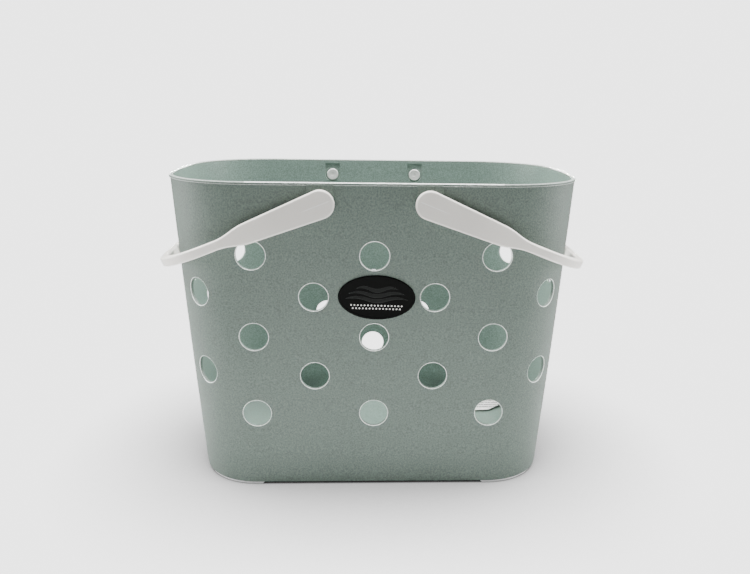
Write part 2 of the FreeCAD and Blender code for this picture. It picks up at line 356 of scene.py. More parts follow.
def knit_line(tree, where):
    """1 on the line where two flows of plastic met on a paddle, where a painted highlight goes, and the way
    along the arm.
    """
    place = tree.add("ShaderNodeSeparateXYZ")
    tree.wire(where, place.inputs[0])
    out = tree.math("SUBTRACT", tree.math("ABSOLUTE", place.outputs["X"]), PIVOT_X * 0.001)
    up = tree.math("SUBTRACT", place.outputs["Z"], (PIVOT_Z - PADDLE_DROP) * 0.001)
    level, dip = cos(REST_DROP), sin(REST_DROP)
    along = tree.math("SUBTRACT", tree.math("MULTIPLY", out, level), tree.math("MULTIPLY", up, dip))
    off = tree.math("ADD", tree.math("MULTIPLY", out, dip), tree.math("MULTIPLY", up, level))
    knit_and_highlight = tree.remap(tree.math("ABSOLUTE", off), 0.00012, 0.00042, 1.0, 0.0)
    face = tree.remap(tree.math("ABSOLUTE", place.outputs["Y"]), 0.0918, 0.0925, 0.0, 1.0)
    start = tree.remap(along, -0.0072, -0.006, 0.0, 1.0)
    finish = tree.remap(along, 0.009, 0.0145, 1.0, 0.0)
    for share in (start, face, finish):
        knit_and_highlight = tree.math("MULTIPLY", knit_and_highlight, share)
    return knit_and_highlight, along


def handle_plastic():
    """White polypropylene, smooth, with a knit line on each paddle's outer face painted pale as a painted
    highlight, and painted light that darkens the paddles and brightens the bar.
    """
    material, tree, principled, where = shader("Handle plastic")
    cloud = tree.noise(where, 30.0, 3.0)
    grain = tree.noise(where, 1200.0, 2.0)
    colour = tree.blend(cloud, (0.82, 0.79, 0.735, 1), (0.86, 0.83, 0.775, 1))
    knit_and_highlight, along = knit_line(tree, where)
    # Painted highlight: the knit line is painted paler, on top of its bump.
    colour = tree.blend(knit_and_highlight, colour, (0.97, 0.96, 0.94, 1))
    # Painted light: the paddles are painted darker and the bar paler, for the light that falls along the arm.
    colour = tree.vector("SCALE", colour, (0, 0, 0), tree.remap(along, 0.03, 0.09, 0.88, 1.07))
    tree.wire(colour, principled.inputs["Base Color"])
    tree.wire(tree.remap(grain, 0.3, 0.7, 0.30, 0.38), principled.inputs["Roughness"])
    relief = tree.math("ADD", tree.math("MULTIPLY", grain, 0.15), tree.noise(where, 60.0, 2.0))
    relief = tree.math("ADD", relief, tree.math("MULTIPLY", knit_and_highlight, 1.5))
    bumped(tree, principled, relief, 0.12, 0.0004)
    return material


def button_plastic():
    """The pale grey-white plastic of the pivot buttons."""
    material, tree, principled, where = shader("Button plastic")
    cloud = tree.noise(where, 300.0, 2.0)
    colour = tree.blend(cloud, (0.78, 0.78, 0.75, 1), (0.84, 0.84, 0.81, 1))
    tree.wire(colour, principled.inputs["Base Color"])
    tree.wire(tree.remap(cloud, 0.3, 0.7, 0.32, 0.42), principled.inputs["Roughness"])
    bumped(tree, principled, tree.noise(where, 1500.0), 0.1, 0.0001)
    return material


def badge_gloss():
    """Black, glossy moulded plastic with faint dust, and a painted highlight on its raised waves."""
    material, tree, principled, where = shader("Badge gloss")
    dust = tree.noise(where, 700.0, 3.0, 0.7)
    dusty = tree.remap(dust, 0.58, 0.75, 0.0, 0.5)
    colour = tree.blend(dusty, (0.0018, 0.0022, 0.0018, 1), (0.006, 0.006, 0.006, 1))
    raised = face_attribute(tree, "raised")
    # Painted highlight: the raised waves are painted grey, most on their narrow edge faces.
    colour = tree.blend(raised, colour, (0.045, 0.048, 0.046, 1))
    tree.wire(colour, principled.inputs["Base Color"])
    tree.wire(tree.remap(dust, 0.3, 0.8, 0.16, 0.30), principled.inputs["Roughness"])
    principled.inputs["Specular IOR Level"].default_value = 0.03
    bumped(tree, principled, tree.noise(where, 400.0), 0.05, 0.0002)
    return material


def badge_silver():
    """The silver ink of the badge's rows of dots."""
    material, tree, principled, where = shader("Badge silver")
    fleck = tree.noise(where, 2500.0, 2.0)
    colour = tree.blend(fleck, (0.42, 0.42, 0.40, 1), (0.62, 0.62, 0.60, 1))
    tree.wire(colour, principled.inputs["Base Color"])
    principled.inputs["Metallic"].default_value = 0.7
    tree.wire(tree.remap(fleck, 0.3, 0.7, 0.28, 0.45), principled.inputs["Roughness"])
    return material


def tag_paper():
    """White card printed with rows of plain dark blocks."""
    material, tree, principled, _ = shader("Tag paper")
    where = tree.add("ShaderNodeAttribute", attribute_name="card_place").outputs["Vector"]
    across = tree.add("ShaderNodeSeparateXYZ")
    tree.wire(where, across.inputs[0])
    rows = tree.math("FRACT", tree.math("MULTIPLY", across.outputs["Y"], 1 / 4.2))
    in_row = tree.math("LESS_THAN", tree.math("ABSOLUTE", tree.math("SUBTRACT", rows, 0.5)), 0.36)
    cell = tree.add("ShaderNodeTexVoronoi", feature="F1")
    cell.inputs["Scale"].default_value = 0.62
    tree.wire(where, cell.inputs["Vector"])
    block = tree.math("GREATER_THAN", cell.outputs["Distance"], 0.24)
    margin = tree.math("LESS_THAN", tree.math("ABSOLUTE", across.outputs["Y"]), 10.2)
    printed = tree.math("MULTIPLY", tree.math("MULTIPLY", in_row, block), margin)
    fibre = tree.noise(where, 6.0, 3.0, 0.7)
    card = tree.blend(fibre, (0.66, 0.66, 0.63, 1), (0.76, 0.76, 0.735, 1))
    colour = tree.blend(tree.math("MULTIPLY", printed, 0.85), card, (0.035, 0.04, 0.04, 1))
    tree.wire(colour, principled.inputs["Base Color"])
    tree.wire(tree.remap(fibre, 0.3, 0.7, 0.6, 0.8), principled.inputs["Roughness"])
    bumped(tree, principled, fibre, 0.2, 0.0001)
    return material


TUB_PLASTIC = tub_plastic()
HANDLE_PLASTIC = handle_plastic()
BUTTON_PLASTIC = button_plastic()
BADGE_GLOSS = badge_gloss()
BADGE_SILVER = badge_silver()
TAG_PAPER = tag_paper()


# ---------------------------------------------------------------- the tub's outline

def outline_sizes(z, grow=0.0):
    """Half width, half depth, corner radius and end radius of the outline at height z."""
    share = z / HEIGHT
    return [low + (high - low) * share + grow for low, high in zip(BASE_OUTLINE, RIM_OUTLINE)]


def corner_centre(half_width, half_depth, corner, end):
    """Centre of the corner arc that touches the flat and lies inside the end arc."""
    y = half_depth - corner
    return half_width - end + sqrt((end - corner) ** 2 - y ** 2), y


def bend(sizes, corner_steps, end_steps):
    """Points of a corner arc and half an end arc, from the front flat to the end's middle."""
    half_width, half_depth, corner, end = sizes
    corner_x, corner_y = corner_centre(*sizes)
    side = atan2(corner_y, corner_x - (half_width - end))
    turn = pi / 2 - side
    points = []
    for i in range(corner_steps):
        angle = turn * i / corner_steps
        points.append((corner_x + corner * sin(angle), -corner_y - corner * cos(angle)))
    for i in range(end_steps + 1):
        angle = side * (1 - i / end_steps)
        points.append((half_width - end + end * cos(angle), -end * sin(angle)))
    return points


def outline_loop(z, grow=0.0, flat_steps=12, corner_steps=24, end_steps=10):
    """The closed outline at height z as points, anticlockwise from the front's middle."""
    curve = bend(outline_sizes(z, grow), corner_steps, end_steps)
    flat = [(curve[0][0] * i / flat_steps, curve[0][1]) for i in range(flat_steps)]
    quarter = flat + curve
    right = quarter + [(x, -y) for x, y in reversed(quarter[:-1])]
    left = [(-x, y) for x, y in reversed(right[1:-1])]
    return [(x, y, z) for x, y in right + left]


def wall_spot(z, place, value):
    """A point on the right front quarter of the wall and the way out of the wall there."""
    def at(height):
        half_width, half_depth, corner, end = outline_sizes(height)
        corner_x, corner_y = corner_centre(half_width, half_depth, corner, end)
        if place == "flat":
            return Vector((value, -half_depth, height)), Vector((0, -1, 0))
        if place == "corner":
            way = Vector((sin(value), -cos(value), 0))
            return Vector((corner_x, -corner_y, height)) + way * corner, way
        side = asin(value / end)
        way = Vector((cos(side), sin(side), 0))
        return Vector((half_width - end, 0, height)) + way * end, way

    point, way = at(z)
    lean = (at(z + 1)[0] - at(z - 1)[0]).dot(way) / 2
    return point, Vector((way.x, way.y, -lean)).normalized()


def hole_spots():
    """Every hole in the wall as a point and the way out, the same on all four quarters."""
    quarter = []
    for row in range(5):
        z = TOP_ROW - row * ROW_STEP
        if row % 2 == 0:
            kinds = [("flat", 0.0), ("flat", 2 * HOLE_STEP), ("end", -END_HOLE_SIDE)]
        else:
            kinds = [("flat", HOLE_STEP), ("corner", CORNER_HOLE_TURN), ("end", 0.0)]
        quarter += [wall_spot(z, *kind) for kind in kinds]
    spots = {}
    for point, way in quarter:
        for x in (1, -1):
            for y in (1, -1):
                place = Vector((x * point.x, y * point.y, point.z))
                key = tuple(round(c, 3) for c in place)
                spots[key] = (place, Vector((x * way.x, y * way.y, way.z)))
    return list(spots.values())


# ---------------------------------------------------------------- tub

def shell_profile():
    """(height, growth) of the moulding's section: bottom, wall, bead, flash, lip, inside, fillet."""
    points = [(FOOT_HEIGHT, -0.5), (FOOT_HEIGHT + 0.15, -0.15), (FOOT_HEIGHT + 0.5, 0.0)]
    top = HEIGHT - BEAD_HEIGHT
    rows = 16
    points += [(5.0 + (top - 5.0) * i / rows, 0.0) for i in range(rows + 1)]
    points += [(top, BEAD_OUT - 0.3), (top + 0.09, BEAD_OUT - 0.09), (top + 0.3, BEAD_OUT)]
    flash_top, flash_foot = (HEIGHT - drop for drop in FLASH_DROPS)
    points += [(flash_foot, BEAD_OUT), (flash_foot + 0.07, BEAD_OUT + FLASH)]
    points += [(flash_top - 0.1, BEAD_OUT + FLASH)]
    points += [(flash_top, BEAD_OUT - 0.05), (flash_top + 0.25, BEAD_OUT - 0.05)]
    steps = 6
    for i in range(steps + 1):
        angle = pi / 2 * i / steps
        points.append((HEIGHT - LIP_RADIUS * (1 - sin(angle)), BEAD_OUT - LIP_RADIUS * (1 - cos(angle))))
    for i in range(steps, -1, -1):
        angle = pi / 2 * i / steps
        points.append((HEIGHT - LIP_RADIUS * (1 - sin(angle)), -WALL + LIP_RADIUS * (1 - cos(angle))))
    bottom = FLOOR_TOP + FLOOR_FILLET
    high = HEIGHT - 5.0
    points += [(high - (high - bottom) * i / rows, -WALL) for i in range(rows + 1)]
    for i in range(1, 9):
        angle = pi / 2 * i / 8
        points.append((bottom - FLOOR_FILLET * sin(angle), -WALL - FLOOR_FILLET * (1 - cos(angle))))
    return points


def slot_outline(x, width, top, grow, steps=16):
    """A shape in XZ, round below about the pivot and square at the top."""
    half = width / 2 + grow
    points = []
    for i in range(steps + 1):
        angle = pi + pi * i / steps
        points.append((x + half * cos(angle), PIVOT_Z + half * sin(angle)))
    return points + [(x + half, top + grow), (x - half, top + grow)]


def slot_block(x, side, width, top, layers):
    """A block along Y through (y, growth) layers of the slot's outline."""
    rings = [[(px, side * y, pz) for px, pz in slot_outline(x, width, top, grow)] for y, grow in layers]
    return loft(rings)


def both_pivots():
    return [(x, side) for x in (-PIVOT_X, PIVOT_X) for side in (-1, 1)]


def pads():
    """Raised pads around the pivots, with a small rounding round each face."""
    r = PAD_ROUNDING
    layers = [(85.4, 0.0), (PAD_FACE - r, 0.0), (PAD_FACE - 0.3 * r, -0.3 * r), (PAD_FACE, -r)]
    return joined([slot_block(x, side, PAD_WIDTH, PAD_TOP, layers) for x, side in both_pivots()])


def recesses():
    """What the mould's cores leave inside, where the buttons' heads sit."""
    layers = [(76.0, 0.0), (RECESS_FACE, 0.0)]
    return joined([slot_block(x, side, RECESS_WIDTH, RECESS_TOP, layers) for x, side in both_pivots()])


def round_cuts():
    """The pivots' bores and the floor's drains."""
    cuts = []
    for x, side in both_pivots():
        verts, faces = turned([(BORE_DIAMETER / 2, 80.0), (BORE_DIAMETER / 2, 95.0)])
        cuts.append(([(x + vx, side * vz, PIVOT_Z + vy) for vx, vy, vz in verts], faces))
    radius = DRAIN_DIAMETER / 2
    profile = [(radius, -3.0), (radius, FLOOR_TOP - 0.5), (radius + 0.15, FLOOR_TOP - 0.15),
               (radius + 0.5, FLOOR_TOP), (radius + 0.5, 9.0)]
    for x, y in DRAINS:
        for side in (-1, 1):
            verts, faces = turned(profile, 32)
            cuts.append(([(side * x + vx, y + vy, vz) for vx, vy, vz in verts], faces))
    return joined(cuts)


def hole_cutter():
    """What one hole removes: a round bore whose outer edge is rolled over. Its mouth is at z 0."""
    radius = HOLE_DIAMETER / 2
    profile = [(radius, -7.0), (radius, -HOLE_ROUNDING)]
    for i in range(1, 6):
        angle = pi / 2 * i / 5
        profile.append((radius + HOLE_ROUNDING * (1 - cos(angle)), -HOLE_ROUNDING * (1 - sin(angle))))
    profile.append((radius + HOLE_ROUNDING, 4.0))
    return turned(profile, 64)


def foot():
    """The low rim it stands on, in two bent runs that slope up at the gaps front and rear."""
    half = FOOT_GAP / 2
    outer = -FOOT_INSET
    inner = -FOOT_INSET - FOOT_WIDTH
    section = [(outer, 2.4), (outer, 0.35), (outer - 0.1, 0.1), (outer - 0.35, 0.0),
               (inner + 0.35, 0.0), (inner + 0.1, 0.1), (inner, 0.35), (inner, 2.4)]
    loops = []
    for grow, z in section:
        curve = bend(outline_sizes(z, grow), 24, 10)
        quarter = [(half, curve[0][1]), (half + FOOT_HEIGHT, curve[0][1])] + curve
        heights = [max(z, 2.1), z] + [z] * (2 * len(curve) - 1) + [z, max(z, 2.1)]
        run = quarter + [(x, -y) for x, y in reversed(quarter[:-1])]
        loops.append([(x, y, h) for (x, y), h in zip(run, heights)])
    right = [list(ring) for ring in zip(*loops)]
    left = [[(-x, y, z) for x, y, z in ring] for ring in right]
    return joined([loft(right), loft(left)])


def gate_mark():
    """The sprue's nib under the middle of the floor, in its shallow ring."""
    ring = [(6.0, 2.3), (6.0, 1.75), (5.8, 1.6), (5.0, 1.6), (4.8, 1.75), (4.8, 2.3)]
    nib = [(1.3, 2.3), (1.3, 1.25), (1.1, 1.05), (0.4, 1.0)]
    band = loft([circle(r, z, 40) for r, z in ring], closed=True)
    return joined([band, turned(list(reversed(nib)), 24)])


def perforate_tree():
    """Drills every hole square to the wall, its mouth bent to follow the wall, then the pivots."""
    inputs = [("Hole spots", "Object"), ("Hole cutter", "Object"), ("Pads", "Object"),
              ("Recesses", "Object"), ("Round cuts", "Object"), ("Reach", "Float"), ("Plastic", "Material")]
    tree, given, result = geometry_tree("Perforated tub", inputs)

    def thing(label):
        node = tree.add("GeometryNodeObjectInfo")
        tree.wire(given.outputs[label], node.inputs["Object"])
        return node.outputs["Geometry"]

    way = tree.add("GeometryNodeInputNamedAttribute", data_type="FLOAT_VECTOR")
    way.inputs["Name"].default_value = "way_out"
    spot = tree.add("GeometryNodeInputNamedAttribute", data_type="FLOAT_VECTOR")
    spot.inputs["Name"].default_value = "spot"
    aim = tree.add("FunctionNodeAlignRotationToVector", axis="Z")
    tree.wire(way.outputs["Attribute"], aim.inputs["Vector"])
    drill = tree.add("GeometryNodeInstanceOnPoints")
    tree.wire(thing("Hole spots"), drill.inputs["Points"])
    tree.wire(thing("Hole cutter"), drill.inputs["Instance"])
    tree.wire(aim.outputs["Rotation"], drill.inputs["Rotation"])
    real = tree.add("GeometryNodeRealizeInstances")
    tree.wire(drill.outputs["Instances"], real.inputs["Geometry"])

    here = tree.add("GeometryNodeInputPosition").outputs["Position"]
    from_spot = tree.vector("SUBTRACT", here, spot.outputs["Attribute"])
    height = tree.vector("DOT_PRODUCT", from_spot, way.outputs["Attribute"])
    lift = tree.math("SUBTRACT", given.outputs["Reach"], height)
    raised = tree.vector("ADD", here, tree.vector("SCALE", way.outputs["Attribute"], (0, 0, 0), lift))
    down = tree.vector("SCALE", way.outputs["Attribute"], (0, 0, 0), -1.0)
    ray = tree.add("GeometryNodeRaycast", data_type="FLOAT")
    tree.wire(given.outputs["Geometry"], ray.inputs["Target Geometry"])
    tree.wire(raised, ray.inputs["Source Position"])
    tree.wire(down, ray.inputs["Ray Direction"])
    ray.inputs["Ray Length"].default_value = 0.05
    drop = tree.math("SUBTRACT", given.outputs["Reach"], ray.outputs["Hit Distance"])
    drop = tree.math("MULTIPLY", drop, ray.outputs["Is Hit"])
    follow = tree.add("GeometryNodeSetPosition")
    tree.wire(real.outputs["Geometry"], follow.inputs["Geometry"])
    tree.wire(tree.vector("SCALE", way.outputs["Attribute"], (0, 0, 0), drop), follow.inputs["Offset"])

    padded = tree.add("GeometryNodeMeshBoolean", operation="UNION", solver="EXACT")
    tree.wire(given.outputs["Geometry"], padded.inputs["Mesh 2"])
    tree.wire(thing("Pads"), padded.inputs["Mesh 2"])
    drilled = tree.add("GeometryNodeMeshBoolean", operation="DIFFERENCE", solver="EXACT")
    tree.wire(padded.outputs["Mesh"], drilled.inputs["Mesh 1"])
    tree.wire(follow.outputs["Geometry"], drilled.inputs["Mesh 2"])
    tree.wire(thing("Recesses"), drilled.inputs["Mesh 2"])
    tree.wire(thing("Round cuts"), drilled.inputs["Mesh 2"])
    made = tree.add("GeometryNodeRealizeInstances")
    tree.wire(drilled.outputs["Mesh"], made.inputs["Geometry"])
    finish = tree.add("GeometryNodeSetMaterial")
    tree.wire(made.outputs["Geometry"], finish.inputs["Geometry"])
    tree.wire(given.outputs["Plastic"], finish.inputs["Material"])
    tree.wire(finish.outputs["Geometry"], result.inputs["Geometry"])
    return tree


def spot_cloud(spots):
    """The holes' centres as loose points that carry their way out."""
    cloud = build_mesh("hole_spots", [point for point, _ in spots], [])
    mesh = cloud.data
    names = ("way_out", "spot")
    for name in names:
        mesh.attributes.new(name, "FLOAT_VECTOR", "POINT")
    out, place = (mesh.attributes[name] for name in names)
    for i, vertex in enumerate(mesh.vertices):
        nearest = min(spots, key=lambda spot: (spot[0] * 0.001 - vertex.co).length)
        out.data[i].vector = nearest[1]
        place.data[i].vector = vertex.co
    return cloud


def outside(centre, normal):
    """True if a face of the wall looks away from the tub's middle."""
    half_width, half_depth, _, _ = RIM_OUTLINE
    return normal.x * centre.x / half_width ** 2 + normal.y * centre.y / half_depth ** 2 > 0


def inside_share(centre):
    """0 on the lip's outer half and 1 on its inner half, from the bead's growth."""
    half_width, half_depth, corner, end = outline_sizes(HEIGHT, -0.5 * WALL)
    corner_x, corner_y = corner_centre(half_width, half_depth, corner, end)
    x, y = abs(centre.x), abs(centre.y)
    if x < corner_x:
        return 0.0 if y > half_depth else 1.0
    if (y - corner_y) * (half_width - end - corner_x) > (x - corner_x) * (0.0 - corner_y):
        return 0.0 if sqrt((x - corner_x) ** 2 + (y - corner_y) ** 2) > corner else 1.0
    return 0.0 if sqrt((x - half_width + end) ** 2 + y ** 2) > end else 1.0


def mark_sides(mesh, spots):
    """Face attributes for the finish: inside faces, painted highlights on the rolled edges, the lip and the
    flash line, and painted light in the recesses.
    """
    flash_top, flash_foot = (HEIGHT - drop for drop in FLASH_DROPS)
    half_recess = RECESS_WIDTH / 2 + 0.1
    names = ("inside", "edge_highlight", "recess_light")
    for name in names:
        mesh.attributes.new(name, "FLOAT", "FACE")
    inside, edge, recess_light = (mesh.attributes[name] for name in names)
    for polygon in mesh.polygons:
        centre = polygon.center * 1000
        normal = polygon.normal
        if centre.z < 16 and normal.z > 0.2:
            inside.data[polygon.index].value = 1.0
        elif centre.z < HEIGHT - LIP_RADIUS and not outside(centre, normal):
            inside.data[polygon.index].value = 1.0
        # Painted highlight on the lip, stronger on its outer half, and a fainter one on the flash line.
        if centre.z > HEIGHT - LIP_SHINE:
            edge.data[polygon.index].value = 0.85 - 0.6 * inside_share(centre)
        elif flash_foot - 0.01 < centre.z < flash_top + 0.01 and outside(centre, normal):
            edge.data[polygon.index].value = 0.35
        aside = abs(abs(centre.x) - PIVOT_X)
        depth = abs(centre.y) - RECESS_FACE
        # Painted light on the recesses' faces and a painted highlight on their rounded sides.
        if centre.z > PIVOT_Z - RECESS_WIDTH and aside < half_recess and depth < 0.1:
            if depth > -0.1:
                recess_light.data[polygon.index].value = 0.45
            elif abs(normal.x) > 0.6:
                edge.data[polygon.index].value = 0.5
        # Painted highlight on the holes' rolled rims.
        for point, way in spots:
            apart = centre - point
            if apart.length < 11.5:
                along = apart.dot(way)
                radius = sqrt(max(apart.length_squared - along ** 2, 0.0))
                if 0.004 < radius - HOLE_DIAMETER / 2 < HOLE_ROUNDING + 0.03 and polygon.area < 4e-6:
                    edge.data[polygon.index].value = 1.0


def tub():
    spots = hole_spots()
    piece = build_mesh("perforated_tub", *loft([outline_loop(z, grow) for z, grow in shell_profile()]))
    helpers = {
        "Hole spots": spot_cloud(spots),
        "Hole cutter": build_mesh("hole_cutter", *hole_cutter()),
        "Pads": build_mesh("pads", *pads()),
        "Recesses": build_mesh("recesses", *recesses()),
        "Round cuts": build_mesh("round_cuts", *round_cuts()),
    }
    run_tree(piece, perforate_tree(), {**helpers, "Reach": 0.015, "Plastic": TUB_PLASTIC})
    for helper in helpers.values():
        bpy.data.objects.remove(helper)
    extra = build_mesh("foot", *joined([foot(), gate_mark()]))
    bm = bmesh.new()
    bm.from_mesh(piece.data)
    bm.from_mesh(extra.data)
    bmesh.ops.remove_doubles(bm, verts=bm.verts, dist=5e-6)
    bmesh.ops.dissolve_degenerate(bm, edges=bm.edges, dist=2e-6)
    bm.to_mesh(piece.data)
    bm.free()
    bpy.data.objects.remove(extra)
    mark_sides(piece.data, spots)
    smooth(piece)
    return piece


# ---------------------------------------------------------------- handles

def neck_curve(steps):
    """Points and normals of the arm's upper edge in XZ, from the paddle's nose to the bar."""
    edge = []
    for i in range(21):
        angle = -pi / 2 + (pi / 2 + PADDLE_TAPER) * i / 20
        edge.append(((PADDLE_RADIUS * sin(angle), PADDLE_RADIUS * cos(angle)), (sin(angle), cos(angle))))
    touch_x, touch_z = edge[-1][0]
    slope = tan(PADDLE_TAPER)
    neck_z = touch_z - (NECK_START - touch_x) * slope
    for i in range(1, 9):
        x = touch_x + (NECK_START - touch_x) * i / 8
        edge.append(((x, touch_z - (x - touch_x) * slope), (sin(PADDLE_TAPER), cos(PADDLE_TAPER))))
    poles = [(NECK_START, neck_z), (NECK_START + NECK_PULL, neck_z - NECK_PULL * slope),
             (NECK_END - NECK_PULL, BAR_HALF_HEIGHT), (NECK_END, BAR_HALF_HEIGHT)]
    for i in range(1, steps + 1):
        t = i / steps
        shares = ((1 - t) ** 3, 3 * t * (1 - t) ** 2, 3 * t * t * (1 - t), t ** 3)
        rates = (-3 * (1 - t) ** 2, 3 * (1 - t) * (1 - 3 * t), 3 * t * (2 - 3 * t), 3 * t * t)
        x, z = (sum(s * pole[k] for s, pole in zip(shares, poles)) for k in (0, 1))
        dx, dz = (sum(s * pole[k] for s, pole in zip(rates, poles)) for k in (0, 1))
        length = sqrt(dx * dx + dz * dz)
        edge.append(((x, z), (-dz / length, dx / length)))
    return edge


def handle_sections():
    """The handle's rounded sections from the front nose round the bow to the rear nose."""
    steps = 6
    roll = [(HANDLE_ROUNDING * (1 - cos(a)), HANDLE_ROUNDING * (1 - sin(a)))
            for a in (pi / 2 * i / steps for i in range(steps + 1))]

    def section(inner, outer, point, normal):
        thick = (outer - inner).length
        way = (outer - inner) / thick
        layers = [(depth, inset) for depth, inset in roll]
        layers += [(thick - depth, inset) for depth, inset in reversed(roll)]
        upper, lower = [], []
        for depth, inset in layers:
            base = inner + way * depth
            x = base.x + point[0] - normal[0] * inset
            z = point[1] - normal[1] * inset
            upper.append((x, base.y, z))
            lower.append((x, base.y, -z))
        return upper + lower[::-1]

    arm = [section(Vector((0, -ARM_INNER)), Vector((0, -ARM_OUTER)), point, normal)
           for point, normal in neck_curve(16)]
    bow = [section(Vector(near), Vector(far), (0, BAR_HALF_HEIGHT), (0, 1))
           for near, far in zip(bend(BOW_INNER, 28, 20), bend(BOW_OUTER, 28, 20))]
    half = arm + bow
    return half + [[(x, -y, z) for x, y, z in ring] for ring in reversed(half[:-1])]


def handle(name, side):
    """One handle at rest; side is 1 for the right one and -1 for the left one."""
    rest = Matrix.Translation((PIVOT_X, 0, PIVOT_Z - PADDLE_DROP)) @ Matrix.Rotation(REST_DROP, 4, "Y")
    verts, faces = loft(handle_sections())
    placed = [rest @ Vector(v) for v in verts]
    piece = build_mesh(name, [(side * v.x, v.y, v.z) for v in placed], faces)
    piece.data.materials.append(HANDLE_PLASTIC)
    smooth(piece, 40.0)
    return piece


# ---------------------------------------------------------------- buttons, badge and tag

def pivot_button(name, x, side):
    """A button with a domed head, an ejector ring on it, a shank and a tang."""
    wide, thick, edge = BUTTON_HEAD
    radius = wide / 2
    profile = [(0.3, 0.14), (1.6, 0.14), (1.75, 0.06), (1.9, 0.06), (2.05, 0.12), (3.4, 0.06)]
    for i in range(6):
        angle = pi / 2 * i / 5
        profile.append((radius - edge * (1 - sin(angle)), edge * (1 - cos(angle))))
    shank = ARM_INNER - BUTTON_HEAD_FACE
    profile += [(radius, thick), (SHANK_DIAMETER / 2, thick), (SHANK_DIAMETER / 2, shank)]
    profile += [(TANG_DIAMETER / 2, shank), (TANG_DIAMETER / 2, shank + TANG_LENGTH)]
    verts, faces = turned(profile, 40)
    placed = [(x + vx, side * (BUTTON_HEAD_FACE + vz), PIVOT_Z + vy) for vx, vy, vz in verts]
    piece = build_mesh(name, placed, faces)
    piece.data.materials.append(BUTTON_PLASTIC)
    smooth(piece)
    return piece


def on_front_wall(x, z):
    """The place of something flat that is stuck on the leaning front wall."""
    point, way = wall_spot(z, "flat", x)
    lean = asin(-way.z)
    stand = Matrix.Translation(point) @ Matrix.Rotation(pi / 2 + lean, 4, "X")
    return stand @ Matrix.Rotation(-BADGE_TURN, 4, "Z")


def wave_rib(middle, length, height, base, top):
    """A raised rib that runs in a wave and thins out at both ends."""
    rings = []
    for i in range(61):
        share = i / 60
        x = length * (share - 0.5)
        y = middle + height * sin(2 * pi * 1.5 * share)
        half = 0.12 + 1.35 * sin(pi * share) ** 0.7
        rings.append([(x, y - half, base), (x, y - half + 0.12, top - 0.05), (x, y - half + 0.25, top),
                      (x, y + half - 0.25, top), (x, y + half - 0.12, top - 0.05), (x, y + half, base)])
    return loft(rings)


def dot_tree():
    """A line of small round dots along a row of points."""
    tree, given, result = geometry_tree("Dots in a line", [("Dot size", "Float"), ("Ink", "Material")])
    dot = tree.add("GeometryNodeMeshCylinder", fill_type="NGON")
    dot.inputs["Vertices"].default_value = 12
    dot.inputs["Depth"].default_value = 0.00012
    tree.wire(given.outputs["Dot size"], dot.inputs["Radius"])
    put = tree.add("GeometryNodeInstanceOnPoints")
    tree.wire(given.outputs["Geometry"], put.inputs["Points"])
    tree.wire(dot.outputs["Mesh"], put.inputs["Instance"])
    real = tree.add("GeometryNodeRealizeInstances")
    tree.wire(put.outputs["Instances"], real.inputs["Geometry"])
    finish = tree.add("GeometryNodeSetMaterial")
    tree.wire(real.outputs["Geometry"], finish.inputs["Geometry"])
    tree.wire(given.outputs["Ink"], finish.inputs["Material"])
    tree.wire(finish.outputs["Geometry"], result.inputs["Geometry"])
    return tree


def badge():
    """A black oval plate with a rolled edge, a raised border and plain waves, over silver dots."""
    long_radius, short_radius = BADGE_RADII
    border = BADGE_THICKNESS - 0.25
    edge = rounded(long_radius, border, BADGE_ROUNDING)
    profile = [(0.0, 0.0)] + [(radius - long_radius, z) for radius, z in edge]
    profile += [(-1.6, border), (-1.75, border - 0.15), (-2.2, border - 0.15)]
    rings = [[((long_radius + inset) * cos(2 * pi * i / 96), (short_radius + inset) * sin(2 * pi * i / 96), z)
              for i in range(96)] for inset, z in profile]
    waves = [wave_rib(middle, length, 1.2, 0.6, 1.15) for middle, length in BADGE_WAVES]
    place = on_front_wall(*BADGE_PLACE)
    plate = loft(rings)
    piece = build_mesh("oval_badge", *joined([plate] + waves), place)
    raised = piece.data.attributes.new("raised", "FLOAT", "FACE")
    # The waves' faces take the painted highlight, strongest on their narrow edge faces.
    for i in range(len(plate[1]), len(piece.data.polygons)):
        raised.data[i].value = 1.0 if piece.data.polygons[i].area < 1.2e-7 else 0.25
    piece.data.materials.append(BADGE_GLOSS)
    smooth(piece)
    count, width, middle, apart = BADGE_DOTS
    spots = [(width * (i / (count - 1) - 0.5), middle + apart / 2 * (-1) ** i, 0.83) for i in range(count)]
    dots = build_mesh("silver_dots", spots, [])
    run_tree(dots, dot_tree(), {"Dot size": 0.00055, "Ink": BADGE_SILVER})
    turn = place.to_quaternion().to_matrix().to_4x4()
    dots.data.transform(Matrix.Translation(place.translation * 0.001) @ turn)
    return piece, dots


